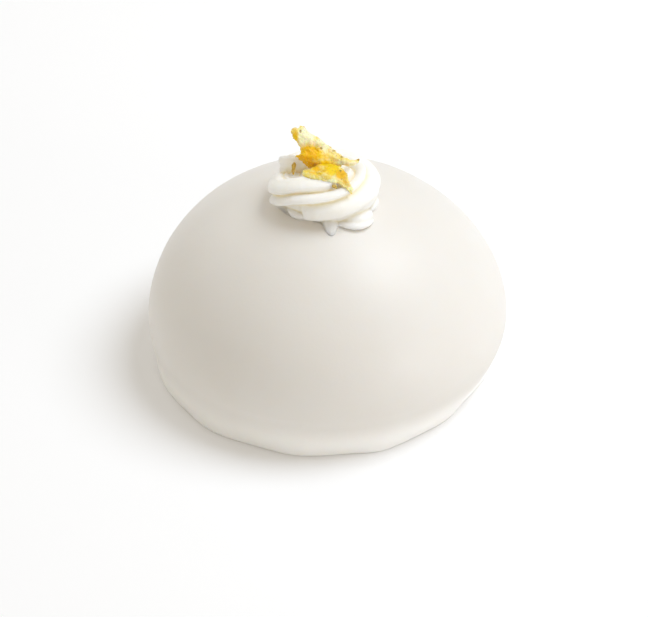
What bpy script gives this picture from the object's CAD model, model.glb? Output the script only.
"""Delizia al limone: the finished cake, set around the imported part.

Blender 4.5, metres, +Z up. Laid out as an add-on and run as a script. Lengths in the tables are in mm.
"""

import math

import bmesh
import bpy
import numpy as np
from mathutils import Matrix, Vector, noise


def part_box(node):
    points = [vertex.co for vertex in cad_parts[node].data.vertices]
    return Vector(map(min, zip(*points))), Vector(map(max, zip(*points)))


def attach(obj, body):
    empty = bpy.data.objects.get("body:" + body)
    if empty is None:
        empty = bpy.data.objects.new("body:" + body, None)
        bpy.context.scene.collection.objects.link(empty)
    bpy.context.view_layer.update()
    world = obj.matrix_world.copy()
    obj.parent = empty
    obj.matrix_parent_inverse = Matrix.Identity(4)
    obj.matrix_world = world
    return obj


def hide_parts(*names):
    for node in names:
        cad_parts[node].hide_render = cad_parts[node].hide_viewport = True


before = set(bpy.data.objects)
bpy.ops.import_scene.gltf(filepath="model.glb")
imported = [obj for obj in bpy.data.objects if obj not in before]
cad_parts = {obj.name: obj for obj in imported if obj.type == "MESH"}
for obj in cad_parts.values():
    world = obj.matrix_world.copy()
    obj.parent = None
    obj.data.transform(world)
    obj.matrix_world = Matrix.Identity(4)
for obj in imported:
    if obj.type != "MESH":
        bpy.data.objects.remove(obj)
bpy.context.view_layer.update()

bl_info = {
    "name": "Lemon dome cake",
    "version": (1, 0, 0),
    "blender": (4, 5, 0),
    "location": "3D View > Sidebar > Lemon cake",
    "description": "Builds a glazed lemon dome cake with a piped rosette and candied lemon",
    "category": "Add Mesh",
}

MM = 0.001

# The dome
CAKE_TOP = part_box("cake")[1].z
DOME_RADIUS = 42.0 * MM
DOME_SIDES = 288
WALL_RINGS = 42
WALL_CROWDING = 1.7  # above 1 sets the wall's rings closer together near the foot
CROWN_RINGS = 96
WAIST_HEIGHT = 12.0 * MM  # where the dome is widest
ROUNDNESS = 1.88  # 2 makes the crown an exact ellipsoid
# How far the wall draws in below the waist and swells again where the glaze gathers: height, mm
TUCK = [(0, 2.3), (1.5, 2.2), (3.5, 1.85), (5.5, 1.3), (7.5, 0.7), (9.5, 0.22), (12, 0)]
FOOT_ROUND = 0.55 * MM  # how far the foot's lower edge is rounded
FOOT_ROUND_HEIGHT = 0.25 * MM
FOOT_SHIFT = -0.9 * MM  # how far left of the middle the foot lies
CROWN_SHIFT = -1.2 * MM  # and the top
OVALNESS = 0.25 * MM
OVAL_TURN = 0.6  # twice the angle by which the oval is turned, in radians
OVAL_FADE = 20 * MM  # nearer the axis than this the oval fades out
SWELL_SIZE = 16 * MM  # size of the glaze's slow unevenness
RIPPLE_SIZE = 4.5 * MM  # and of the quick one
RIPPLE_SHARE = 0.14
UNEVEN_FADE = 12 * MM  # nearer the axis than this the unevenness fades out
RUN_HEIGHT = 3.2 * MM  # how high up the foot the runs of glaze fade out
# Where the glaze has run out or stopped short round the foot: azimuth, half-width (degrees), reach (mm)
FOOT_RUNS = [
    (12, 16, 0.35), (48, 14, -0.4), (83, 20, 0.45), (128, 17, -0.35), (163, 13, 0.4), (198, 9, 0.05),
    (216, 8, -0.35), (230, 9, 0.35), (247, 11, -0.55), (259, 9, 0.4), (277, 9, -0.4), (289, 7, 0.6),
    (306, 9, -0.4), (318, 7, 0.3), (324, 12, -0.85), (332, 9, -0.4), (349, 9, 0.2),
]

# The rosette: a turn of a ridged rope of cream, piped anticlockwise from the left. Azimuths are in degrees
# about the rosette's middle and pass 360 after the back. A section angle is 0 outwards and 90 up.
ROSETTE_X = -0.9 * MM
ROSETTE_Y = -0.8 * MM
ROPE_START = 166
ROPE_END = 530
ROPE_RADIUS = [(166, 3.3), (190, 3.8), (215, 4.6), (240, 5.1), (400, 5.1), (470, 4.7), (530, 4.1)]
RING_RADIUS = [(166, 8.9), (190, 9.3), (215, 8.6), (240, 8.0), (420, 7.9), (450, 7.2), (480, 6.8), (530, 6.9)]
RISE = [
    (166, 0.8), (190, 1.3), (215, 2.4), (240, 3.1), (290, 3.0), (340, 2.6), (385, 1.2), (450, 0.8),
    (480, 1.7), (530, 5.1),
]
TWIST = [(166, -66), (200, -58), (246, -15), (270, 0), (305, 18), (340, 33), (385, 50), (450, 74), (530, 100)]
# For each ridge: the section angle of its crest, the azimuth at which it rises out of the rope, and the share
# of the full depth that the groove above it has. The last ridge is the first again.
RIDGE_ANGLES = [-30, 33, 74, 126, 165, 205, 245, 285, 330]
RIDGE_STARTS = [246, 197, 184, 166, 160, 160, 160, 236, 246]
RIDGE_DEPTHS = [1.0, 1.0, 0.12, 0.5, 0.8, 1.0, 1.0, 1.0, 1.0]
RIDGE_RISE = 4  # degrees of azimuth, to each side of its start, in which a ridge rises
FIRST_START = 160  # the ridges' starts lie from this azimuth on, within the span in degrees
START_SPAN = 100
# Height from one crest to the next: the groove's lowest place is at GROOVE_PLACE
RIDGE_PROFILE = [(0.0, 1.0), (0.25, 0.92), (0.5, 0.68), (0.74, 0.18), (0.84, 0.0), (0.92, 0.4), (1.0, 1.0)]
GROOVE_PLACE = 0.84
# Along the rope: its thickness at the two ends, the share of the grooves' depth, and how square it is
END_ROUND = [
    (0.0, 0.0), (0.004, 0.45), (0.011, 0.86), (0.02, 1.0), (0.98, 1.0), (0.993, 0.94), (0.997, 0.8),
    (1.0, 0.0),
]
GROOVE_FADE = [(0.0, 1.0), (0.78, 1.0), (0.9, 0.55), (1.0, 0.28)]
SQUARE_END = [(0.0, 0.0), (0.86, 0.0), (0.96, 1.0), (1.0, 1.0)]
ROPE_STATIONS = 420
ROPE_POINTS_ROUND = 161
SMOOTHING_ROUNDS = 6
HOLLOW_ROUNDS = 150  # how far the hollows are measured against a smoothed surface
FEWEST_POINTS = 10000  # the joined rosette has more than this
# The first squeeze of cream in the middle: height above the crown and radius
MIDDLE_LOBE = [
    (-3.2, 0), (-2.9, 10.7), (-0.9, 10.4), (0.6, 8.6), (2.6, 7.4), (4.3, 5.9), (5.7, 4.1), (6.5, 2.2),
    (6.8, 0),
]
MIDDLE_GAP = 0.1  # from the tips to the first and last rings
MIDDLE_STEPS = 40
MIDDLE_SIDES = 84
FLUTES = 7
FLUTE_DEPTH = 0.07  # as a share of the radius
FLUTE_TWIST = 0.16  # radians per mm of height
# Where its foot is drawn in, because it would show under the rope: azimuth, half-width (degrees), reach
# and top (mm)
MIDDLE_TUCK = (252, 34, 1.2, 2)
LOBE_STATIONS = 20
# The cap that trims what lies inside the dome: radius and depth, mm
CAP_RADIUS = 19
CAP_DEPTH = 20
CAP_RINGS = 30
CAP_SIDES = 72

# The candied lemon. Each flake is a sheet in its own axes: right, up along the leaning face, and out of the
# face. A row holds the sheet's two edges and how far its middle bulges out.
FLAKE_FOOT = Vector((-2.2, -5.4, 54.8)) * MM
FLAKE_LEAN = 38.8  # degrees back from upright
FLAKE_STATIONS = 120
# Sizes and reaches of the crumples
CRUMPLES = [(2.2, 0.4), (0.8, 0.2), (0.36, 0.09)]
TEAR_FROM = 0.6  # the share of its length from which a sheet's last end is torn
EDGE_THINNING = 0.6  # how much thinner a sheet is at its side edges
END_THICKNESS = 0.35  # how thick it is at its two ends, and the share of its length in which it thins
END_SHARE = 0.05
LUMP_SIZE = 1.3 * MM  # over this distance its thickness varies, by the share
LUMP_SHARE = 0.35
RAGS = 26  # how many times a sheet's side edges go in and out, and how far, as shares of its half-width
RAG_REACH = 0.055
RAG_PULL = 0.04
TALL_FLAKE = [
    ((-0.7, -0.9, -4.0), (3.6, -1.2, -4.0), 0.2),
    ((-1.2, 0.6, -3.8), (4.5, 0.0, -3.8), 0.1),
    ((-2.3, 1.7, -3.7), (5.1, 1.1, -3.8), 0.4),
    ((-3.7, 2.7, -3.4), (6.0, 2.2, -3.7), 0.8),
    ((-5.2, 3.8, -3.0), (6.3, 3.4, -3.9), 0.9),
    ((-4.1, 4.5, -3.2), (5.0, 4.5, -3.9), 0.7),
    ((-4.1, 5.6, -3.3), (3.7, 5.6, -3.8), 0.5),
    ((-4.8, 6.7, -3.2), (2.0, 6.7, -3.5), 0.6),
    ((-5.5, 8.1, -3.1), (0.1, 8.1, -3.5), 0.6),
    ((-6.1, 9.4, -3.1), (-2.1, 9.6, -3.5), 0.4),
    ((-5.9, 10.3, -3.3), (-3.0, 10.8, -3.7), 0.1),
]
# How deep the tall flake's top is torn, across it
TALL_TEAR = [(-1.0, 0.02), (-0.3, 0.0), (0.0, 0.035), (0.4, 0.0), (1.0, 0.02)]
LOW_FLAKE = [
    ((-3.5, 0.5, -1.2), (-3.4, -0.8, -0.2), 0.1),
    ((-2.2, 0.9, -2.1), (-2.2, -1.15, 0.9), 0.4),
    ((-0.9, 1.5, -2.8), (-0.9, -1.5, 1.45), 0.8),
    ((0.4, 2.2, -3.0), (0.5, -1.8, 2.0), 0.5),
    ((1.8, 2.3, -2.9), (1.8, -2.2, 2.45), 0.8),
    ((3.5, 2.0, -2.4), (2.9, -2.5, 2.75), 0.9),
    ((5.4, 1.2, -1.3), (3.9, -2.6, 2.5), 0.7),
    ((6.5, -0.2, 0.6), (4.8, -2.6, 2.3), 0.1),
    ((7.1, -1.7, 2.5), (5.7, -3.3, 2.85), -0.2),
    ((7.7, -3.4, 2.9), (6.6, -4.2, 3.1), -0.2),
    ((7.7, -4.8, 2.9), (7.3, -5.0, 2.9), 0.0),
]
# The tall flake's curled tongue: right, up, out and half-width
TONGUE = [
    (3.8, 3.2, -4.2, 0), (5.2, 3.0, -3.8, 0.75), (6.3, 2.7, -3.55, 0.85), (7.4, 2.45, -3.6, 0.7),
    (8.4, 2.6, -3.8, 0.5), (9.1, 3.1, -4.0, 0.33), (9.4, 3.5, -4.1, 0),
]
TONGUE_STEPS = 10  # between one row and the next
TONGUE_SIDES = 24
# Where each tone of the lemon lies: right, up, half-width, half-height, strength
LEMON_TONES = {
    "deep": [
        (-1.8, 4.2, 1.9, 1.6, 0.8), (-3.9, 3.4, 1.6, 1.0, 1.0), (-2.2, 2.2, 2.2, 1.0, 0.9),
        (-1.0, 3.2, 1.6, 0.7, 0.5), (-1.2, 0.0, 1.1, 0.5, 0.55), (-0.5, 1.7, 1.2, 0.6, 0.7),
        (-0.3, 0.9, 1.3, 0.9, 0.8), (5.3, -0.6, 1.2, 1.2, 1.0), (6.3, -2.4, 0.8, 1.2, 0.5),
        (1.3, 0.4, 1.2, 0.4, 0.6),
    ],
    "bright": [
        (-1.6, 4.6, 2.6, 1.9, 1.0), (3.3, 0.9, 1.9, 1.4, 1.0), (1.6, 2.2, 2.0, 0.9, 0.8),
        (-5.1, 7.9, 0.8, 2.3, 0.8), (-2.4, 0.4, 1.3, 0.7, 0.5), (6.6, -2.6, 1.1, 1.8, 0.5),
        (0.4, -0.2, 1.6, 0.5, 0.6), (-5.4, 9.9, 0.7, 0.6, 0.5), (1.4, 3.8, 2.6, 1.1, 0.6),
    ],
    "pale": [
        (-2.6, 8.2, 2.0, 2.5, 1.0), (0.6, 6.3, 2.4, 1.5, 1.0), (3.2, -2.1, 1.5, 0.6, 0.7),
        (5.6, 2.4, 1.8, 0.8, 0.7), (8.0, 2.2, 1.4, 0.6, 0.8), (7.3, -3.6, 0.9, 1.0, 0.7),
        (3.4, 4.6, 1.3, 0.9, 0.3),
    ],
    "dark": [
        (5.1, 0.4, 0.25, 0.25, 0.9), (5.5, -0.5, 0.9, 0.8, 0.42), (9.2, 3.2, 0.5, 0.4, 0.8),
        (-3.9, 9.5, 0.3, 0.5, 0.7), (-3.0, 10.6, 0.35, 0.3, 0.6), (0.8, 5.7, 0.35, 0.35, 0.8),
        (3.7, 5.2, 0.5, 0.35, 0.7), (5.4, 3.8, 0.4, 0.3, 0.7),
    ],
}
TONE_FALL = 0.7  # how fast a tone fades from its middle
# The flakes: name, the solid that it stands for, rows, points across, seed of its crumples, and tear
FLAKES = [
    ("lemon_tall_flake", "lemon_flake", TALL_FLAKE, 64, 1, TALL_TEAR),
    ("lemon_low_flake", "lemon_strip", LOW_FLAKE, 48, 5, [(0.0, 0.0)]),
]
GRAIN_SEEDS = (3, 8)  # one for each flake
GRAINS_PER_SQUARE_METRE = 1.6e6
# The two crumbs: name, start, end, bulge, half-width, and how deep and how dark their tone is
CRUMBS = [
    ("lemon_long_crumb", (-7.5, -0.1, 54.0), (-7.7, -1.5, 51.5), (-0.1, -0.2, 0.1), 0.62, 0.45, 0.5),
    ("lemon_round_crumb", (1.2, -9.4, 53.6), (2.0, -9.8, 53.6), (0.0, -0.1, 0.4), 0.46, 0.1, 0.56),
]
CRUMB_STATIONS = 24

# The stage. The camera's numbers are in pixels of its picture: focal length, and where its axis meets it.
PICTURE_WIDTH = 648
PICTURE_HEIGHT = 617
FOCAL_LENGTH = 2730
AXIS_X = 327.6
AXIS_Y = 348.3
SENSOR_WIDTH = 36
FLOOR_HALF = 3.0
SKY_COLOUR = (1.0, 0.94, 0.85, 1.0)
# The lights: name, the setting with its power, place, what it is aimed at, size and colour. In metres.
LIGHTS = [
    ("key_light", "key", (0.43, 0.08, 0.82), (0, 0, 0.03), 0.6, (0.93, 1.0, 1.1)),
    ("low_fill", "fill", (0.6, -0.45, 0.1), (0, 0, 0.02), 0.4, (1.0, 1.0, 1.06)),
    ("back_light", "back", (-0.45, 0.5, 0.6), (0, 0, 0.02), 0.5, (0.95, 1.0, 1.05)),
]


def colour_setting(name, description, default):
    return bpy.props.FloatVectorProperty(
        name=name, description=description, subtype="COLOR", size=3, default=default)


def length_setting(name, description, default):
    return bpy.props.FloatProperty(
        name=name, description=description, default=default, unit="LENGTH", precision=5)


def power_setting(name, description, default):
    return bpy.props.FloatProperty(name=name, description=description, default=default)


class DomeSettings(bpy.types.PropertyGroup):
    """Sizes and colours of the glazed dome."""

    radius: length_setting("Radius", "Radius of the dome at its widest", DOME_RADIUS)
    height: length_setting("Height", "Height of the dome's top", CAKE_TOP)
    unevenness: length_setting("Unevenness", "How far the glaze wanders from a perfect dome", 0.16 * MM)
    glaze: colour_setting("Glaze", "Colour of the white glaze", (0.795, 0.769, 0.72))
    foot_glaze: colour_setting(
        "Foot glaze", "Colour where the glaze has gathered thickly round the foot", (0.97, 0.95, 0.90))
    thin_glaze: colour_setting(
        "Thin glaze", "Colour where the glaze is thin over the lemon cream", (0.775, 0.739, 0.676))


class CreamSettings(bpy.types.PropertyGroup):
    """Sizes and colours of the piped rosette."""

    groove: bpy.props.FloatProperty(
        name="Groove depth", description="Depth of the grooves as a share of the rope's radius", default=0.36,
        subtype="FACTOR")
    voxel: length_setting("Detail", "Size of the smallest detail of the cream's surface", 0.17 * MM)
    cream: colour_setting("Cream", "Colour of the whipped cream", (0.955, 0.924, 0.875))
    yellowed: colour_setting("Yellowed cream", "Colour of the cream's warmer patches", (0.945, 0.90, 0.80))
    groove_colour: colour_setting(
        "Groove colour", "Colour in the folds, which light reaches through the cream", (0.935, 0.85, 0.675))


class LemonSettings(bpy.types.PropertyGroup):
    """Sizes and colours of the candied lemon."""

    thickness: length_setting("Thickness", "Thickness of a flake", 0.85 * MM)
    grain_size: length_setting("Grain size", "Radius of a grain of sugar or pulp", 0.14 * MM)
    flesh: colour_setting("Flesh", "Main yellow of the lemon", (0.92, 0.68, 0.13))
    deep: colour_setting("Deep", "Orange of the folds", (0.88, 0.50, 0.003))
    bright: colour_setting("Bright", "Clear yellow of the peel", (0.95, 0.63, 0.006))
    pale: colour_setting("Pale", "Pale pith", (0.97, 0.90, 0.60))
    dark: colour_setting("Dark", "Browned specks", (0.38, 0.25, 0.025))


class StageSettings(bpy.types.PropertyGroup):
    """The floor, the lights and the camera."""

    floor: colour_setting("Floor", "Colour of the plain floor", (0.96, 0.96, 0.96))
    key: power_setting("Key", "Power of the soft light high at the right", 4.9)
    fill: power_setting("Fill", "Power of the low light in front at the right", 0.95)
    back: power_setting("Back", "Power of the faint light behind at the left", 0.65)
    sky: power_setting("Sky", "Strength of the even light all round", 0.57)
    elevation: bpy.props.FloatProperty(
        name="Camera elevation", description="How far above the horizon the camera stands",
        default=math.radians(38.8), subtype="ANGLE")
    distance: length_setting("Camera distance", "From the middle of the cake's underside", 0.65)


# Numbers


def smooth_step(value):
    value = min(1.0, max(0.0, value))
    return value * value * (3 - 2 * value)


def from_table(table, place):
    """A smooth curve through the (place, value) rows of a table, level beyond its ends."""
    if place <= table[0][0]:
        return table[0][1]
    if place >= table[-1][0]:
        return table[-1][1]
    k = max(i for i in range(len(table) - 1) if table[i][0] <= place)
    before = table[max(0, k - 1)]
    (x0, y0), (x1, y1) = table[k], table[k + 1]
    after = table[min(len(table) - 1, k + 2)]
    slope0 = (y1 - before[1]) / (x1 - before[0]) * (x1 - x0)
    slope1 = (after[1] - y0) / (after[0] - x0) * (x1 - x0)
    t = (place - x0) / (x1 - x0)
    value = (2 * t**3 - 3 * t**2 + 1) * y0 + (t**3 - 2 * t**2 + t) * slope0
    return value + (3 * t**2 - 2 * t**3) * y1 + (t**3 - t**2) * slope1


def angle_between(a, b):
    return abs((a - b + 180) % 360 - 180)


# Meshes


def make_object(name, points, faces):
    mesh = bpy.data.meshes.new(name)
    mesh.from_pydata([tuple(p) for p in points], [], faces)
    mesh.validate()
    mesh.shade_smooth()
    obj = bpy.data.objects.new(name, mesh)
    bpy.context.scene.collection.objects.link(obj)
    return obj


def capped_tube(rings, first_tip, last_tip):
    """A closed solid through equal rings of points, which go anticlockwise as seen from the last tip."""
    count = len(rings[0])
    points = [p for ring in rings for p in ring] + [first_tip, last_tip]
    faces = []
    for k in range(len(rings) - 1):
        for i in range(count):
            j = (i + 1) % count
            faces.append((k * count + i, k * count + j, (k + 1) * count + j, (k + 1) * count + i))
    first = len(points) - 2
    last_ring = (len(rings) - 1) * count
    for i in range(count):
        j = (i + 1) % count
        faces.append((first, j, i))
        faces.append((first + 1, last_ring + i, last_ring + j))
    return points, faces


def apply_modifiers(obj):
    """Turns the evaluated object into a plain mesh and clears its modifiers."""
    bpy.context.view_layer.update()
    graph = bpy.context.evaluated_depsgraph_get()
    mesh = bpy.data.meshes.new_from_object(obj.evaluated_get(graph), depsgraph=graph)
    mesh.name = obj.name
    obj.modifiers.clear()
    obj.data = mesh
    return obj


def face_outwards(obj, merge=0.0):
    work = bmesh.new()
    work.from_mesh(obj.data)
    if merge:
        bmesh.ops.remove_doubles(work, verts=work.verts, dist=merge)
    bmesh.ops.recalc_face_normals(work, faces=work.faces)
    work.to_mesh(obj.data)
    work.free()
    obj.data.shade_smooth()


def vertex_table(mesh):
    co = np.empty(len(mesh.vertices) * 3)
    mesh.vertices.foreach_get("co", co)
    return co.reshape(-1, 3)


def normal_table(mesh):
    normals = np.empty(len(mesh.vertices) * 3)
    mesh.vertices.foreach_get("normal", normals)
    return normals.reshape(-1, 3)


def edge_table(mesh):
    ends = np.empty(len(mesh.edges) * 2, int)
    mesh.edges.foreach_get("vertices", ends)
    return ends.reshape(-1, 2)


def relaxed(co, ends, rounds, share=0.5):
    """The points after that many rounds of moving each towards the middle of its neighbours."""
    count = np.bincount(ends.ravel(), minlength=len(co))[:, None]
    co = co.copy()
    for _ in range(rounds):
        total = np.zeros_like(co)
        np.add.at(total, ends[:, 0], co[ends[:, 1]])
        np.add.at(total, ends[:, 1], co[ends[:, 0]])
        co += share * (total / count - co)
    return co


def set_points(mesh, co):
    mesh.vertices.foreach_set("co", np.asarray(co, float).ravel())
    mesh.update()


def set_attribute(mesh, name, values):
    layer = mesh.attributes.new(name, "FLOAT", "POINT")
    layer.data.foreach_set("value", np.asarray(values, float))


def hollow_values(mesh, rounds, depth):
    """1 where the surface is a fold or groove, 0 on crests, measured against its smoothed self."""
    co = vertex_table(mesh)
    smoothed = relaxed(co, edge_table(mesh), rounds)
    inward = np.einsum("ij,ij->i", smoothed - co, normal_table(mesh))
    return np.clip(0.5 + 0.5 * inward / depth, 0, 1)


def roughen(mesh, reach, coarse, fine):
    """Moves the points along their normals by coarse noise, and fine noise of half its reach. All in mm."""
    co = vertex_table(mesh)
    points = [Vector(p) / MM for p in co]
    rough = np.array([noise.noise(p / coarse) + 0.5 * noise.noise(p / fine) for p in points])
    set_points(mesh, co + normal_table(mesh) * (reach * MM * rough)[:, None])


# Node trees


def put(tree, kind, inputs=None, **settings):
    """Adds a node, sets its settings, then fills or links its inputs by name or number."""
    node = tree.nodes.new(kind)
    for key, value in settings.items():
        setattr(node, key, value)
    for key, value in (inputs or {}).items():
        if isinstance(value, bpy.types.NodeSocket):
            tree.links.new(value, node.inputs[key])
        else:
            node.inputs[key].default_value = value
    return node


def maths(tree, operation, *values):
    return put(tree, "ShaderNodeMath", dict(enumerate(values)), operation=operation).outputs[0]


def drawn_curve(tree, value, rows, handle="AUTO"):
    """A float curve through rows, whose places and values both lie between 0 and 1."""
    node = put(tree, "ShaderNodeFloatCurve", {"Value": value})
    points = node.mapping.curves[0].points
    while len(points) < len(rows):
        points.new(0.5, 0.5)
    for point, row in zip(points, rows):
        point.location = row
        point.handle_type = handle
    node.mapping.update()
    return node.outputs[0]


def by_azimuth(tree, along, table, unit, handle="AUTO"):
    """A table's value at a share of the rope's length, times unit."""
    low = min(value for _, value in table)
    span = max(value for _, value in table) - low
    length = table[-1][0] - table[0][0]
    rows = [((place - table[0][0]) / length, (value - low) / span) for place, value in table]
    curve = drawn_curve(tree, along, rows, handle)
    return maths(tree, "MULTIPLY_ADD", curve, span * unit, low * unit)


def new_tree(name, kind, inputs, outputs):
    tree = bpy.data.node_groups.new(name, kind)
    for label, socket, default in inputs:
        made = tree.interface.new_socket(label, in_out="INPUT", socket_type=socket)
        if default is not None:
            made.default_value = default
    for label, socket in outputs:
        tree.interface.new_socket(label, in_out="OUTPUT", socket_type=socket)
    given = tree.nodes.new("NodeGroupInput").outputs
    result = tree.nodes.new("NodeGroupOutput").inputs
    return tree, given, result


def finish_tree(tree, mesh, material, result):
    real = put(tree, "GeometryNodeRealizeInstances", {"Geometry": mesh}).outputs[0]
    painted = put(tree, "GeometryNodeSetMaterial", {"Geometry": real, "Material": material})
    tree.links.new(painted.outputs[0], result)


def run_tree(obj, tree, values):
    """Runs a geometry tree on an object with values for its named inputs, and keeps the plain mesh."""
    modifier = obj.modifiers.new(tree.name, "NODES")
    modifier.node_group = tree
    for item in tree.interface.items_tree:
        if item.in_out == "INPUT" and item.name in values:
            modifier[item.identifier] = values[item.name]
    return apply_modifiers(obj)


# Materials


def mottle_group():
    """Soft patches of two colours, for glaze, cream and lemon."""
    tree, given, result = new_tree(
        "Mottle", "ShaderNodeTree",
        [("Colour", "NodeSocketColor", None), ("Patch colour", "NodeSocketColor", None),
         ("Patches per metre", "NodeSocketFloat", 100.0), ("Amount", "NodeSocketFloat", 0.5),
         ("Contrast", "NodeSocketFloat", 0.2)],
        [("Colour", "NodeSocketColor"), ("Mask", "NodeSocketFloat")])
    place = put(tree, "ShaderNodeTexCoord").outputs["Object"]
    patches = put(tree, "ShaderNodeTexNoise", {
        "Vector": place, "Scale": given["Patches per metre"], "Detail": 4.0, "Roughness": 0.55})
    low = maths(tree, "SUBTRACT", 0.5, given["Contrast"])
    high = maths(tree, "ADD", 0.5, given["Contrast"])
    mask = maths(tree, "MULTIPLY", shaped(tree, patches.outputs[0], low, high), given["Amount"])
    tree.links.new(colour_mix(tree, mask, given["Colour"], given["Patch colour"]), result["Colour"])
    tree.links.new(mask, result["Mask"])
    return tree


def grain_group():
    """The height of a fine uneven surface with a coarser swell under it."""
    tree, given, result = new_tree(
        "Surface grain", "ShaderNodeTree",
        [("Swells per metre", "NodeSocketFloat", 300.0), ("Grains per metre", "NodeSocketFloat", 3000.0),
         ("Grain share", "NodeSocketFloat", 0.3)],
        [("Height", "NodeSocketFloat")])
    place = put(tree, "ShaderNodeTexCoord").outputs["Object"]
    swell, grain = [
        put(tree, "ShaderNodeTexNoise", {"Vector": place, "Scale": given[scale], "Detail": detail}).outputs[0]
        for scale, detail in (("Swells per metre", 3.0), ("Grains per metre", 5.0))]
    height = put(tree, "ShaderNodeMix", {"Factor": given["Grain share"], "A": swell, "B": grain})
    tree.links.new(height.outputs[0], result["Height"])
    return tree


def new_material(name, **shader_values):
    """A material whose shader's own sockets hold its constants. Returns it, its tree and its shader."""
    material = bpy.data.materials.new(name)
    material.use_nodes = True
    tree = material.node_tree
    shader = tree.nodes["Principled BSDF"]
    for key, value in shader_values.items():
        shader.inputs[key.replace("_", " ")].default_value = value
    return material, tree, shader


def group_node(tree, group, **values):
    node = put(tree, "ShaderNodeGroup", node_tree=group)
    for key, value in values.items():
        socket = node.inputs[key.replace("_", " ")]
        if isinstance(value, bpy.types.NodeSocket):
            tree.links.new(value, socket)
        else:
            socket.default_value = value
    return node


def shaped(tree, value, low, high):
    return put(tree, "ShaderNodeMapRange", {"Value": value, "From Min": low, "From Max": high},
               interpolation_type="SMOOTHSTEP").outputs[0]


def colour_mix(tree, factor, first, second):
    return put(tree, "ShaderNodeMix", {"Factor": factor, 6: first, 7: second}, data_type="RGBA").outputs[2]


def bump(tree, shader, height, strength, distance):
    node = put(tree, "ShaderNodeBump", {"Height": height, "Strength": strength, "Distance": distance})
    tree.links.new(node.outputs[0], shader.inputs["Normal"])


def opaque(colour):
    return (*colour, 1.0)


def shared_groups():
    groups = bpy.data.node_groups
    return groups.get("Mottle") or mottle_group(), groups.get("Surface grain") or grain_group()


def glaze_material(settings):
    mottle, grain = shared_groups()
    material, tree, shader = new_material(
        "Satin glaze", Roughness=0.42, IOR=1.45, Subsurface_Weight=0.35, Subsurface_Scale=0.0015,
        Subsurface_Radius=(1.0, 0.8, 0.6), Coat_Weight=0.06, Coat_Roughness=0.3)
    cloudy = group_node(tree, mottle, Colour=opaque(settings.glaze), Patch_colour=opaque(settings.thin_glaze),
                        Patches_per_metre=45.0, Amount=0.55, Contrast=0.28)
    place = put(tree, "ShaderNodeTexCoord").outputs["Object"]
    level = put(tree, "ShaderNodeSeparateXYZ", {0: place}).outputs["Z"]
    gathered = shaped(tree, level, 10 * MM, 2 * MM)
    colour = colour_mix(tree, gathered, cloudy.outputs["Colour"], opaque(settings.foot_glaze))
    tree.links.new(colour, shader.inputs["Base Color"])
    rough = put(tree, "ShaderNodeMapRange", {"Value": cloudy.outputs["Mask"], "To Min": 0.40, "To Max": 0.50})
    tree.links.new(rough.outputs[0], shader.inputs["Roughness"])
    height = group_node(tree, grain, Swells_per_metre=160.0, Grains_per_metre=1500.0, Grain_share=0.25)
    bump(tree, shader, height.outputs[0], 0.12, 0.0006)
    return material


def cream_material(settings):
    mottle, grain = shared_groups()
    material, tree, shader = new_material(
        "Whipped cream", Roughness=0.5, IOR=1.45, Subsurface_Weight=0.75, Subsurface_Scale=0.003,
        Subsurface_Radius=(1.0, 0.94, 0.84))
    hollow = put(tree, "ShaderNodeAttribute", attribute_name="hollow").outputs["Fac"]
    fold = shaped(tree, hollow, 0.38, 0.88)
    cloudy = group_node(tree, mottle, Colour=opaque(settings.cream), Patch_colour=opaque(settings.yellowed),
                        Patches_per_metre=420.0, Amount=0.6, Contrast=0.25)
    colour = colour_mix(tree, fold, cloudy.outputs["Colour"], opaque(settings.groove_colour))
    tree.links.new(colour, shader.inputs["Base Color"])
    height = group_node(tree, grain, Swells_per_metre=900.0, Grains_per_metre=5200.0, Grain_share=0.5)
    bump(tree, shader, height.outputs[0], 0.25, 0.0002)
    return material


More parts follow.
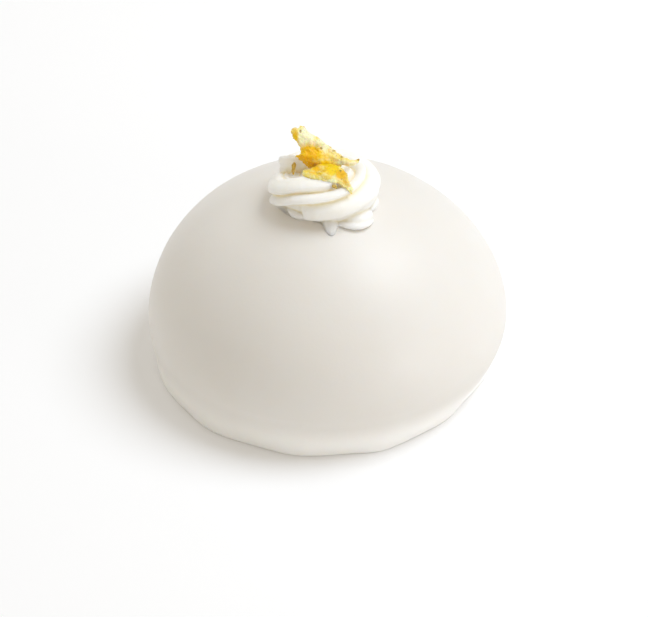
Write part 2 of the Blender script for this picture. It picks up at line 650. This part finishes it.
def lemon_material(settings, name="Candied lemon"):
    mottle, grain = shared_groups()
    material, tree, shader = new_material(
        name, Roughness=0.35, IOR=1.45, Subsurface_Weight=0.6, Subsurface_Scale=0.001,
        Subsurface_Radius=(1.0, 0.7, 0.2), Coat_Weight=0.08, Coat_Roughness=0.25,
        Specular_IOR_Level=0.3)
    place = put(tree, "ShaderNodeTexCoord").outputs["Object"]
    broken = put(tree, "ShaderNodeTexNoise", {
        "Vector": place, "Scale": 1100.0, "Detail": 6.0, "Roughness": 0.65}).outputs[0]
    tones = {}
    for tone, softness in (("bright", 0.9), ("deep", 0.9), ("pale", 0.8), ("dark", 0.5)):
        value = put(tree, "ShaderNodeAttribute", attribute_name=tone).outputs["Fac"]
        ragged = maths(tree, "MULTIPLY_ADD", maths(tree, "SUBTRACT", broken, 0.5), softness, value)
        tones[tone] = shaped(tree, ragged, 0.25, 0.75)
    fleshy = group_node(tree, mottle, Colour=opaque(settings.flesh), Patch_colour=opaque(settings.pale),
                        Patches_per_metre=700.0, Amount=0.5, Contrast=0.16)
    colour = colour_mix(tree, tones["pale"], fleshy.outputs["Colour"], opaque(settings.pale))
    colour = colour_mix(tree, tones["bright"], colour, opaque(settings.bright))
    colour = colour_mix(tree, tones["deep"], colour, opaque(settings.deep))
    specks = put(tree, "ShaderNodeTexNoise", {"Vector": place, "Scale": 2100.0, "Detail": 2.0}).outputs[0]
    specked = maths(tree, "MULTIPLY", shaped(tree, specks, 0.66, 0.74), 0.55)
    colour = colour_mix(tree, specked, colour, opaque(settings.dark))
    colour = colour_mix(tree, tones["dark"], colour, opaque(settings.dark))
    tree.links.new(colour, shader.inputs["Base Color"])
    rough = put(tree, "ShaderNodeMapRange", {"Value": broken, "To Min": 0.22, "To Max": 0.55})
    tree.links.new(rough.outputs[0], shader.inputs["Roughness"])
    height = group_node(tree, grain, Swells_per_metre=1300.0, Grains_per_metre=4200.0, Grain_share=0.4)
    bump(tree, shader, height.outputs[0], 0.6, 0.0003)
    return material


def grain_material(settings):
    mottle, grain = shared_groups()
    material, tree, shader = new_material(
        "Sugar and pulp", Roughness=0.25, IOR=1.5, Subsurface_Weight=0.4, Subsurface_Scale=0.0004,
        Subsurface_Radius=(1.0, 0.6, 0.2), Coat_Weight=0.15, Coat_Roughness=0.15)
    tone = put(tree, "ShaderNodeAttribute", attribute_name="tone").outputs["Fac"]
    browned = shaped(tree, tone, 0.80, 0.86)
    colour = colour_mix(tree, shaped(tree, tone, 0.1, 0.4), opaque(settings.pale), opaque(settings.flesh))
    for place, under in (("pale", settings.pale), ("bright", settings.bright), ("deep", settings.deep)):
        beneath = put(tree, "ShaderNodeAttribute", attribute_name=place).outputs["Fac"]
        share = maths(tree, "MULTIPLY", shaped(tree, beneath, 0.2, 0.7), 0.92)
        colour = colour_mix(tree, share, colour, opaque(under))
    colour = colour_mix(tree, browned, colour, opaque(settings.deep))
    cloudy = group_node(tree, mottle, Colour=colour, Patch_colour=opaque(settings.pale),
                        Patches_per_metre=3000.0, Amount=0.25, Contrast=0.2)
    tree.links.new(cloudy.outputs["Colour"], shader.inputs["Base Color"])
    height = group_node(tree, grain, Swells_per_metre=4000.0, Grains_per_metre=9000.0, Grain_share=0.3)
    bump(tree, shader, height.outputs[0], 0.3, 0.0001)
    return material


def use_material(obj, material):
    obj.data.materials.clear()
    obj.data.materials.append(material)


# The dome


def wall_radius(radius, height):
    """The dome's radius below its waist."""
    under = FOOT_ROUND * math.exp(-height / FOOT_ROUND_HEIGHT)
    return radius - from_table(TUCK, height / MM) * MM - under


def foot_reach(azimuth):
    """How far the uneven glaze reaches past the plain foot at an azimuth in degrees."""
    return sum(
        reach * MM * math.exp(-((angle_between(azimuth, place) / width) ** 2))
        for place, width, reach in FOOT_RUNS
    )


def dome_point(azimuth, radius, height, top, unevenness):
    """A point of the glaze, shifted, slightly oval and uneven, with runs of glaze near the foot."""
    turn = math.radians(azimuth)
    low = math.exp(-((height / RUN_HEIGHT) ** 2))
    reach = radius + low * foot_reach(azimuth)
    reach += OVALNESS * math.sin(2 * turn + OVAL_TURN) * min(1.0, radius / OVAL_FADE)
    if height < WAIST_HEIGHT:
        shift = FOOT_SHIFT * smooth_step(1 - height / WAIST_HEIGHT)
    else:
        shift = CROWN_SHIFT * smooth_step((height - WAIST_HEIGHT) / (top - WAIST_HEIGHT))
    point = Vector((reach * math.cos(turn) + shift, reach * math.sin(turn), height))
    swell = 0.5 + 0.5 * noise.noise(point / SWELL_SIZE)
    swell += RIPPLE_SHARE * noise.noise(point / RIPPLE_SIZE + Vector((7, 0, 0)))
    depth = unevenness * swell * min(1.0, radius / UNEVEN_FADE)
    return point - Vector((math.cos(turn), math.sin(turn), 0)) * depth


def dome_rings(settings):
    """The radius and height of each ring, closer together near the foot."""
    heights = [WAIST_HEIGHT * (k / WALL_RINGS) ** WALL_CROWDING for k in range(WALL_RINGS)]
    rings = [(wall_radius(settings.radius, h), h) for h in heights]
    for k in range(CROWN_RINGS):
        angle = k / CROWN_RINGS * math.pi / 2
        radius = settings.radius * math.cos(angle) ** (2 / ROUNDNESS)
        rise = math.sin(angle) ** (2 / ROUNDNESS)
        rings.append((radius, WAIST_HEIGHT + (settings.height - WAIST_HEIGHT) * rise))
    return rings


def crown_height(x, y):
    """The height of the dome's top above a place near its middle."""
    radius = math.hypot(x - CROWN_SHIFT, y)
    share = math.sqrt(max(0.0, 1 - (radius / DOME_RADIUS) ** ROUNDNESS))
    return WAIST_HEIGHT + (CAKE_TOP - WAIST_HEIGHT) * share ** (2 / ROUNDNESS)


class LEMONCAKE_OT_dome(bpy.types.Operator):
    """Build the glazed dome"""

    bl_idname = "lemoncake.dome"
    bl_label = "Glazed dome"

    def execute(self, context):
        settings = context.scene.lemoncake_dome
        azimuths = [360 * i / DOME_SIDES for i in range(DOME_SIDES)]
        rest = (settings.height, settings.unevenness)
        loops = [[dome_point(a, *ring, *rest) for a in azimuths] for ring in dome_rings(settings)]
        base = Vector((FOOT_SHIFT, 0, 0))
        top = Vector((CROWN_SHIFT, 0, settings.height))
        dome = make_object("glazed_dome", *capped_tube(loops, base, top))
        use_material(dome, glaze_material(settings))
        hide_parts("cake")
        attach(dome, "root")
        return {"FINISHED"}


# The rosette of cream


def rope_tree():
    """A ridged rope of cream laid round the crown. The ridges wind round it and rise out of it one by one."""
    tree, given, result = new_tree(
        "Piped rope", "GeometryNodeTree",
        [("Stations", "NodeSocketInt", 400), ("Points round", "NodeSocketInt", 161),
         ("Middle X", "NodeSocketFloat", 0.0), ("Middle Y", "NodeSocketFloat", 0.0),
         ("Crown height", "NodeSocketFloat", 0.0465), ("Groove depth", "NodeSocketFloat", 0.4),
         ("Squareness", "NodeSocketFloat", 0.1), ("Wobble", "NodeSocketFloat", 0.0001),
         ("Material", "NodeSocketMaterial", None)],
        [("Geometry", "NodeSocketGeometry")])
    grid = put(tree, "GeometryNodeMeshGrid", {
        "Size X": 1.0, "Size Y": 1.0, "Vertices X": given["Stations"], "Vertices Y": given["Points round"]})
    flat = put(tree, "ShaderNodeSeparateXYZ", {0: put(tree, "GeometryNodeInputPosition").outputs[0]}).outputs
    along = maths(tree, "ADD", flat[0], 0.5)
    around = maths(tree, "ADD", flat[1], 0.5)
    azimuth = maths(tree, "MULTIPLY_ADD", along, ROPE_END - ROPE_START, ROPE_START)

    # which ridge, and the share of the way from its crest to the next
    count = len(RIDGE_ANGLES) - 1
    ridge = maths(tree, "FLOOR", maths(tree, "MULTIPLY_ADD", around, count, 0.0001))
    share = maths(tree, "SUBTRACT", maths(tree, "MULTIPLY", around, count), ridge)
    height = drawn_curve(tree, share, RIDGE_PROFILE)
    crests = [(k / count, (angle - RIDGE_ANGLES[0]) / 360) for k, angle in enumerate(RIDGE_ANGLES)]
    crest = maths(tree, "MULTIPLY_ADD", drawn_curve(tree, around, crests, "VECTOR"), 360, RIDGE_ANGLES[0])
    starts = [(k / count, (start - FIRST_START) / START_SPAN) for k, start in enumerate(RIDGE_STARTS)]
    nearest = maths(tree, "ADD", ridge, maths(tree, "GREATER_THAN", share, GROOVE_PLACE))
    start = drawn_curve(tree, maths(tree, "DIVIDE", nearest, count), starts, "VECTOR")
    start = maths(tree, "MULTIPLY_ADD", start, START_SPAN, FIRST_START)
    low = maths(tree, "SUBTRACT", start, RIDGE_RISE)
    high = maths(tree, "ADD", start, RIDGE_RISE)
    begun = shaped(tree, azimuth, low, high)

    # how far the skin lies from the rope's middle
    turned = maths(tree, "ADD", crest, by_azimuth(tree, along, TWIST, 1.0))
    tilt = maths(tree, "RADIANS", turned)
    dip = maths(tree, "SUBTRACT", 1, maths(tree, "MULTIPLY", height, begun))
    dip = maths(tree, "MULTIPLY", dip, drawn_curve(tree, along, GROOVE_FADE))
    depths = [(k / count, share) for k, share in enumerate(RIDGE_DEPTHS)]
    depth = drawn_curve(tree, maths(tree, "DIVIDE", ridge, count), depths, "VECTOR")
    dip = maths(tree, "MULTIPLY", dip, depth)
    square = maths(tree, "MULTIPLY", drawn_curve(tree, along, SQUARE_END), given["Squareness"])
    corner = maths(tree, "MULTIPLY", square, maths(tree, "COSINE", maths(tree, "MULTIPLY", tilt, 4)))
    shape = maths(tree, "SUBTRACT", 1, maths(tree, "MULTIPLY", given["Groove depth"], dip))
    shape = maths(tree, "SUBTRACT", shape, corner)
    shape = maths(tree, "MULTIPLY", shape, drawn_curve(tree, along, END_ROUND))
    reach = maths(tree, "MULTIPLY", by_azimuth(tree, along, ROPE_RADIUS, MM), shape)

    # its place
    turn = maths(tree, "RADIANS", azimuth)
    ring = by_azimuth(tree, along, RING_RADIUS, MM)
    out = maths(tree, "ADD", ring, maths(tree, "MULTIPLY", reach, maths(tree, "COSINE", tilt)))
    level = maths(tree, "ADD", given["Crown height"], by_azimuth(tree, along, RISE, MM))
    place = put(tree, "ShaderNodeCombineXYZ", {
        "X": maths(tree, "MULTIPLY_ADD", out, maths(tree, "COSINE", turn), given["Middle X"]),
        "Y": maths(tree, "MULTIPLY_ADD", out, maths(tree, "SINE", turn), given["Middle Y"]),
        "Z": maths(tree, "ADD", level, maths(tree, "MULTIPLY", reach, maths(tree, "SINE", tilt))),
    }).outputs[0]
    moved = put(tree, "GeometryNodeSetPosition", {"Geometry": grid.outputs[0], "Position": place}).outputs[0]
    closed = put(tree, "GeometryNodeMergeByDistance", {"Geometry": moved, "Distance": 0.004 * MM}).outputs[0]

    # a slight wobble of the surface
    waves = put(tree, "ShaderNodeTexNoise", {"Scale": 420.0, "Detail": 2.0}).outputs[0]
    wobble = maths(tree, "MULTIPLY", maths(tree, "SUBTRACT", waves, 0.5), given["Wobble"])
    normal = put(tree, "GeometryNodeInputNormal").outputs[0]
    offset = put(tree, "ShaderNodeVectorMath", {0: normal, "Scale": wobble}, operation="SCALE").outputs[0]
    wavy = put(tree, "GeometryNodeSetPosition", {"Geometry": closed, "Offset": offset}).outputs[0]
    finish_tree(tree, wavy, given["Material"], result["Geometry"])
    return tree


def swept_lobe(spine, radii, flatness=1.0, sides=20):
    """A closed lobe along a spine, with a half-width at each point. It ends on the first and last points."""
    rings = []
    for k in range(1, len(spine) - 1):
        along = (spine[k + 1] - spine[k - 1]).normalized()
        side = along.cross(Vector((0, 0, 1))).normalized()
        up = side.cross(along)
        ring = []
        for i in range(sides):
            turn = 2 * math.pi * i / sides
            wide = side * (radii[k] * flatness * math.cos(turn))
            ring.append(spine[k] - wide + up * (radii[k] * math.sin(turn)))
        rings.append(ring)
    return capped_tube(rings, spine[0], spine[-1])


def on_crown(x, y, above):
    """A point a little above or below the dome's top, all in mm."""
    return Vector((x * MM, y * MM, crown_height(x * MM, y * MM) + above * MM))


def bowed(start, end, bulge, count):
    """Points from start to end that bow out by bulge, a vector in mm, at the middle."""
    points = []
    for k in range(count):
        share = k / (count - 1)
        points.append(start.lerp(end, share) + Vector(bulge) * MM * math.sin(math.pi * share))
    return points


def rounded(radius, count):
    """Half-widths in metres along a lobe that is rounded at both ends."""
    return [radius * MM * math.sin(math.pi * k / (count - 1)) ** 0.5 for k in range(count)]


def tapered(widths, first, last):
    """The widths times a factor that changes evenly from first to last."""
    return [width * (first + (last - first) * k / (len(widths) - 1)) for k, width in enumerate(widths)]


def middle_lobe():
    """The first squeeze of cream, which fills the ring and spreads a little under the rope."""
    low = MIDDLE_LOBE[0][0] + MIDDLE_GAP
    high = MIDDLE_LOBE[-1][0] - MIDDLE_GAP
    tuck_azimuth, tuck_width, tuck_reach, tuck_top = MIDDLE_TUCK
    rings = []
    for k in range(MIDDLE_STEPS + 1):
        height = low + (high - low) * k / MIDDLE_STEPS
        radius = from_table(MIDDLE_LOBE, height)
        flute = FLUTE_DEPTH * smooth_step((height - 1) / 3)
        ring = []
        for i in range(MIDDLE_SIDES):
            turn = 2 * math.pi * i / MIDDLE_SIDES
            reach = radius * (1 + flute * math.cos(FLUTES * turn)) * MM
            twist = turn + FLUTE_TWIST * height
            if height < tuck_top:
                far = angle_between(math.degrees(twist), tuck_azimuth) / tuck_width
                reach -= tuck_reach * MM * math.exp(-(far ** 2))
            ring.append(Vector((
                ROSETTE_X + reach * math.cos(twist),
                ROSETTE_Y + reach * math.sin(twist),
                CAKE_TOP + height * MM,
            )))
        rings.append(ring)
    first, last = [Vector((ROSETTE_X, ROSETTE_Y, CAKE_TOP + MIDDLE_LOBE[k][0] * MM)) for k in (0, -1)]
    return capped_tube(rings, first, last)


def small_lobes():
    """The cream that spread on the glaze round the rope, and what fills the gaps of the rope."""
    # start, end, bulge, half-width, flatness and taper
    lobes = [
        (on_crown(3.0, -10.0, 0.5), on_crown(9.8, -6.5, 0.5), (0.6, -1.0, 0.0), 1.35, 1.5, 1.0),
        (on_crown(1.2, -11.0, 0.2), on_crown(10.5, -8.6, 0.4), (1.0, -1.9, 0.0), 0.8, 1.45, 1.0),
        (on_crown(0.4, -8.8, 0.7), on_crown(0.9, -14.6, -0.15), (0.0, 0.0, 0.15), 1.0, 1.9, 0.75),
        (on_crown(-9.0, -6.6, 0.9), on_crown(-4.6, -10.0, 0.5), (-0.5, -0.7, 0.0), 0.85, 1.0, 1.0),
        (on_crown(-8.6, -5.6, 1.9), on_crown(-3.6, -8.8, 1.7), (-0.4, -0.5, 0.0), 1.25, 1.0, 1.0),
        (on_crown(-10.2, 0.4, 2.3), on_crown(-5.5, -1.8, 4.4), (0.0, -0.3, 0.3), 1.7, 1.3, 1.0),
        (on_crown(9.4, -6.8, 0.5), on_crown(10.5, -0.6, 0.7), (0.5, 0.0, 0.0), 1.0, 1.1, 1.0),
        (on_crown(0.5, -7.8, 5.0), on_crown(6.5, -4.4, 5.3), (0.3, -0.4, 0.0), 1.3, 1.3, 1.0),
    ]
    for start, end, bulge, radius, flatness, taper in lobes:
        widths = tapered(rounded(radius, LOBE_STATIONS), 1, taper)
        yield swept_lobe(bowed(start, end, bulge, LOBE_STATIONS), widths, flatness)


def crown_cap(gap):
    """A cap that follows the dome's top, a gap above it, to trim what lies inside the dome."""
    rings = []
    for step in range(CAP_RINGS, 0, -1):
        radius = CAP_RADIUS * step / CAP_RINGS
        ring = []
        for i in range(CAP_SIDES):
            turn = math.radians(360 / CAP_SIDES * i)
            x = radius * math.cos(turn) + CROWN_SHIFT / MM
            ring.append(on_crown(x, radius * math.sin(turn), gap / MM))
        rings.append(ring)
    under = Vector((CROWN_SHIFT, 0, CAKE_TOP - CAP_DEPTH * MM))
    top = Vector((CROWN_SHIFT, 0, CAKE_TOP + gap))
    return make_object("crown_cap", *capped_tube(rings, under, top))


class LEMONCAKE_OT_rosette(bpy.types.Operator):
    """Pipe the rosette of whipped cream"""

    bl_idname = "lemoncake.rosette"
    bl_label = "Cream rosette"

    def execute(self, context):
        settings = context.scene.lemoncake_cream
        material = cream_material(settings)
        rope = make_object("cream_rosette_piece", [], [])
        run_tree(rope, rope_tree(), {
            "Stations": ROPE_STATIONS, "Points round": ROPE_POINTS_ROUND,
            "Middle X": ROSETTE_X, "Middle Y": ROSETTE_Y, "Crown height": CAKE_TOP,
            "Groove depth": settings.groove, "Squareness": 0.12, "Wobble": 0.25 * MM, "Material": material})
        face_outwards(rope, 0.002 * MM)
        lobes = [make_object("lobe", *lobe) for lobe in (middle_lobe(), *small_lobes())]
        with context.temp_override(active_object=rope, object=rope, selected_editable_objects=[rope] + lobes):
            bpy.ops.object.join()
        remesh = rope.modifiers.new("remesh", "REMESH")
        remesh.mode = "VOXEL"
        remesh.voxel_size = settings.voxel
        apply_modifiers(rope)
        cap = crown_cap(-0.2 * MM)
        trim = rope.modifiers.new("trim", "BOOLEAN")
        trim.operation = "DIFFERENCE"
        trim.solver = "MANIFOLD"
        trim.object = cap
        apply_modifiers(rope)
        bpy.data.objects.remove(cap)
        mesh = rope.data
        if len(mesh.vertices) < FEWEST_POINTS:
            raise RuntimeError("the rosette's pieces did not join")
        set_points(mesh, relaxed(vertex_table(mesh), edge_table(mesh), SMOOTHING_ROUNDS))
        roughen(mesh, 0.035, 0.9, 0.4)
        set_attribute(mesh, "hollow", hollow_values(mesh, HOLLOW_ROUNDS, 0.5 * MM))
        mesh.shade_smooth()
        use_material(rope, material)
        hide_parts("cream_rosette")
        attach(rope, "root")
        return {"FINISHED"}


# The candied lemon


def flake_axes():
    lean = math.radians(FLAKE_LEAN)
    up = Vector((0, math.sin(lean), math.cos(lean)))
    out = Vector((0, -math.cos(lean), math.sin(lean)))
    return Vector((1, 0, 0)), up, out


def flake_place(right, up, out):
    """The point at a flake's own coordinates, in mm."""
    axes = flake_axes()
    return FLAKE_FOOT + (axes[0] * right + axes[1] * up + axes[2] * out) * MM


def sheet_point(rows, along, across):
    """A point of a sheet's middle surface: along from 0 to 1 through its rows, across from -1 to 1."""
    place = along * (len(rows) - 1)
    edges = []
    for side in (0, 1):
        edges.append([from_table([(i, row[side][c]) for i, row in enumerate(rows)], place) for c in range(3)])
    bulge = from_table([(i, row[2]) for i, row in enumerate(rows)], place)
    share = (across + 1) / 2
    right, up, out = (a + (b - a) * share for a, b in zip(*edges))
    point = flake_place(right, up, out + bulge * (1 - across * across))
    for size, reach in CRUMPLES:
        point = point + noise.noise_vector(point / (size * MM)) * reach * MM
    return point


def ragged(along, across, seed):
    """Pulls the edges of a sheet in and out a little, so that they look torn."""
    edge = abs(across) ** 4
    tear = noise.noise(Vector((along * RAGS, seed, math.copysign(3, across)))) * RAG_REACH
    return across * (1 - edge * (RAG_PULL + tear))


def sheet(rows, stations, columns, thickness, seed, tear):
    """A closed crumpled sheet, thinner towards its edges. The tear says how far its last end is pulled in."""
    noise.seed_set(seed)
    out = flake_axes()[2]
    front = []
    back = []
    for k in range(stations):
        for i in range(columns):
            across = 2 * i / (columns - 1) - 1
            along = k / (stations - 1)
            ends = min(1.0, min(along, 1 - along) / END_SHARE)
            along *= 1 - from_table(tear, across) * smooth_step((along - TEAR_FROM) / (1 - TEAR_FROM))
            point = sheet_point(rows, along, ragged(along, across, seed))
            half = thickness / 2 * (1 - EDGE_THINNING * abs(across) ** 5)
            half *= END_THICKNESS + (1 - END_THICKNESS) * ends
            half *= 1 + LUMP_SHARE * noise.noise(point / LUMP_SIZE + Vector((seed, 0, 0)))
            front.append(point + out * half)
            back.append(point - out * half)
    count = stations * columns
    faces = []
    for k in range(stations - 1):
        for i in range(columns - 1):
            a = k * columns + i
            b = a + columns
            faces.append((a, a + 1, b + 1, b))
            faces.append((count + a, count + b, count + b + 1, count + a + 1))
    rim = list(range(columns))
    rim += [k * columns + columns - 1 for k in range(1, stations)]
    rim += [(stations - 1) * columns + i for i in range(columns - 2, -1, -1)]
    rim += [k * columns for k in range(stations - 2, 0, -1)]
    for a, b in zip(rim, rim[1:] + rim[:1]):
        faces.append((b, a, count + a, count + b))
    return front + back, faces


def paint_tones(obj):
    """Writes how much of each tone the lemon has at each point, from where the tones lie on the flakes."""
    axes = flake_axes()
    co = vertex_table(obj.data) - np.array(FLAKE_FOOT)
    right = co @ np.array(axes[0]) / MM
    up = co @ np.array(axes[1]) / MM
    for tone, patches in LEMON_TONES.items():
        value = np.zeros(len(co))
        for x, y, half_width, half_height, strength in patches:
            far = ((right - x) / half_width) ** 2 + ((up - y) / half_height) ** 2
            value = np.maximum(value, strength * np.exp(-far * TONE_FALL))
        set_attribute(obj.data, tone, value)


def grain_tree():
    """Scatters grains of sugar and pulp over a surface."""
    tree, given, result = new_tree(
        "Surface grains", "GeometryNodeTree",
        [("Geometry", "NodeSocketGeometry", None), ("Grains per square metre", "NodeSocketFloat", 1e6),
         ("Radius", "NodeSocketFloat", 0.0001), ("Seed", "NodeSocketInt", 3),
         ("Material", "NodeSocketMaterial", None)],
        [("Geometry", "NodeSocketGeometry")])
    spread = put(tree, "GeometryNodeDistributePointsOnFaces", {
        "Mesh": given["Geometry"], "Density": given["Grains per square metre"], "Seed": given["Seed"]})
    grain = put(tree, "GeometryNodeMeshIcoSphere", {"Radius": given["Radius"], "Subdivisions": 1}).outputs[0]
    size = put(tree, "FunctionNodeRandomValue", {0: (0.5, 0.4, 0.5), 1: (1.5, 1.1, 1.3), "Seed": 11},
               data_type="FLOAT_VECTOR").outputs[0]
    turn = put(tree, "FunctionNodeRandomValue", {0: (0, 0, 0), 1: (6.28, 6.28, 6.28), "Seed": 12},
               data_type="FLOAT_VECTOR").outputs[0]
    copies = put(tree, "GeometryNodeInstanceOnPoints", {
        "Points": spread.outputs[0], "Instance": grain, "Rotation": turn, "Scale": size}).outputs[0]
    tone = put(tree, "FunctionNodeRandomValue", {"Seed": 13}, data_type="FLOAT").outputs[1]
    toned = put(tree, "GeometryNodeStoreNamedAttribute", {"Geometry": copies, "Name": "tone", "Value": tone},
                data_type="FLOAT", domain="INSTANCE").outputs[0]
    finish_tree(tree, toned, given["Material"], result["Geometry"])
    return tree


def lemon_piece(obj, material):
    """Gives a piece of lemon its tones, material, body and slot."""
    paint_tones(obj)
    use_material(obj, material)
    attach(obj, "root")


def tongue():
    """The curled tongue of the tall flake."""
    columns = [[(i, row[c]) for i, row in enumerate(TONGUE)] for c in range(4)]
    places = [k / TONGUE_STEPS for k in range(TONGUE_STEPS * (len(TONGUE) - 1) + 1)]
    rows = [[from_table(column, place) for column in columns] for place in places]
    spine = [flake_place(*row[:3]) for row in rows]
    widths = [max(0.0, row[3]) * MM for row in rows]
    obj = make_object("lemon_tongue", *swept_lobe(spine, widths, sides=TONGUE_SIDES))
    face_outwards(obj)
    roughen(obj.data, 0.16, 0.9, 0.4)
    return obj


class LEMONCAKE_OT_flakes(bpy.types.Operator):
    """Make the flakes of candied lemon and the grains on them"""

    bl_idname = "lemoncake.flakes"
    bl_label = "Candied lemon"

    def execute(self, context):
        settings = context.scene.lemoncake_lemon
        material = lemon_material(settings)
        flakes = []
        for name, node, rows, columns, seed, tear in FLAKES:
            crumpled = sheet(rows, FLAKE_STATIONS, columns, settings.thickness, seed, tear)
            flake = make_object(name, *crumpled)
            face_outwards(flake)
            lemon_piece(flake, material)
            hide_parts(node)
            flakes.append(flake)
        lemon_piece(tongue(), material)
        tree = grain_tree()
        sugar = grain_material(settings)
        for flake, seed in zip(flakes, GRAIN_SEEDS):
            grains = make_object(flake.name.replace("flake", "grains"), [], [])
            grains.data = flake.data.copy()
            run_tree(grains, tree, {
                "Grains per square metre": GRAINS_PER_SQUARE_METRE, "Radius": settings.grain_size,
                "Seed": seed, "Material": sugar})
            if not grains.data.vertices:
                raise RuntimeError("no grains were scattered on " + flake.name)
            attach(grains, "root")
        return {"FINISHED"}


class LEMONCAKE_OT_crumbs(bpy.types.Operator):
    """Stick the two crumbs of lemon to the cream"""

    bl_idname = "lemoncake.crumbs"
    bl_label = "Lemon crumbs"

    def execute(self, context):
        settings = context.scene.lemoncake_lemon
        material = lemon_material(settings, "Lemon crumb")
        for name, start, end, bulge, radius, deep, dark in CRUMBS:
            spine = bowed(Vector(start) * MM, Vector(end) * MM, bulge, CRUMB_STATIONS)
            widths = tapered(rounded(radius, CRUMB_STATIONS), 1.05, 0.55)
            crumb = make_object(name, *swept_lobe(spine, widths))
            face_outwards(crumb)
            roughen(crumb.data, 0.2, 0.7, 0.3)
            for tone, value in (("deep", deep), ("bright", 0.0), ("pale", 0.0), ("dark", dark)):
                set_attribute(crumb.data, tone, np.full(len(crumb.data.vertices), value))
            use_material(crumb, material)
            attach(crumb, "root")
        return {"FINISHED"}


# The stage


def area_light(name, place, aim, size, power, colour):
    light = bpy.data.lights.new(name, "AREA")
    light.shape = "DISK"
    light.size = size
    light.energy = power
    light.color = colour
    obj = bpy.data.objects.new(name, light)
    obj.location = place
    obj.rotation_euler = (Vector(aim) - Vector(place)).to_track_quat("-Z", "Y").to_euler()
    obj.visible_camera = False
    bpy.context.scene.collection.objects.link(obj)


class LEMONCAKE_OT_stage(bpy.types.Operator):
    """Set the floor, the lights and the camera"""

    bl_idname = "lemoncake.stage"
    bl_label = "Stage"

    def execute(self, context):
        settings = context.scene.lemoncake_stage
        scene = context.scene
        colour = opaque(settings.floor)
        material = new_material("Plain floor", Base_Color=colour, Roughness=0.9, Specular_IOR_Level=0.1)[0]
        half = FLOOR_HALF
        corners = [(-half, -half, 0), (half, -half, 0), (half, half, 0), (-half, half, 0)]
        floor = make_object("floor", corners, [(0, 1, 2, 3)])
        use_material(floor, material)

        for name, power, place, aim, size, tint in LIGHTS:
            area_light(name, place, aim, size, getattr(settings, power), tint)

        world = bpy.data.worlds.new("Even light")
        world.use_nodes = True
        background = world.node_tree.nodes["Background"]
        background.inputs["Color"].default_value = SKY_COLOUR
        background.inputs["Strength"].default_value = settings.sky
        scene.world = world

        lens = bpy.data.cameras.new("camera")
        camera = bpy.data.objects.new("camera", lens)
        scene.collection.objects.link(camera)
        back = Vector((0, -math.cos(settings.elevation), math.sin(settings.elevation)))
        camera.location = back * settings.distance
        camera.rotation_euler = (-back).to_track_quat("-Z", "Y").to_euler()
        lens.sensor_width = SENSOR_WIDTH
        lens.lens = FOCAL_LENGTH * SENSOR_WIDTH / PICTURE_WIDTH
        lens.shift_x = -(AXIS_X - PICTURE_WIDTH / 2) / PICTURE_WIDTH
        lens.shift_y = (AXIS_Y - PICTURE_HEIGHT / 2) / PICTURE_WIDTH
        scene.camera = camera
        scene.view_settings.view_transform = "Standard"
        return {"FINISHED"}


class LEMONCAKE_PT_panel(bpy.types.Panel):
    """The cake's pieces and their settings"""

    bl_idname = "LEMONCAKE_PT_panel"
    bl_label = "Lemon cake"
    bl_space_type = "VIEW_3D"
    bl_region_type = "UI"
    bl_category = "Lemon cake"

    def draw(self, context):
        for operators, group in PIECES:
            box = self.layout.box()
            settings = getattr(context.scene, group)
            for key in settings.bl_rna.properties.keys():
                if key not in ("rna_type", "name"):
                    box.prop(settings, key)
            for operator in operators:
                box.operator(operator.bl_idname)


PIECES = [
    ((LEMONCAKE_OT_dome,), "lemoncake_dome"),
    ((LEMONCAKE_OT_rosette,), "lemoncake_cream"),
    ((LEMONCAKE_OT_flakes, LEMONCAKE_OT_crumbs), "lemoncake_lemon"),
    ((LEMONCAKE_OT_stage,), "lemoncake_stage"),
]
GROUPS = {
    "lemoncake_dome": DomeSettings,
    "lemoncake_cream": CreamSettings,
    "lemoncake_lemon": LemonSettings,
    "lemoncake_stage": StageSettings,
}


def register():
    for name, group in GROUPS.items():
        bpy.utils.register_class(group)
        setattr(bpy.types.Scene, name, bpy.props.PointerProperty(type=group))
    for operators, _ in PIECES:
        for operator in operators:
            bpy.utils.register_class(operator)
    bpy.utils.register_class(LEMONCAKE_PT_panel)


def unregister():
    bpy.utils.unregister_class(LEMONCAKE_PT_panel)
    for operators, _ in PIECES:
        for operator in operators:
            bpy.utils.unregister_class(operator)
    for name, group in GROUPS.items():
        delattr(bpy.types.Scene, name)
        bpy.utils.unregister_class(group)


def main():
    register()
    bpy.ops.lemoncake.dome()
    bpy.ops.lemoncake.rosette()
    bpy.ops.lemoncake.flakes()
    bpy.ops.lemoncake.crumbs()
    bpy.ops.lemoncake.stage()


if __name__ == "__main__":
    main()
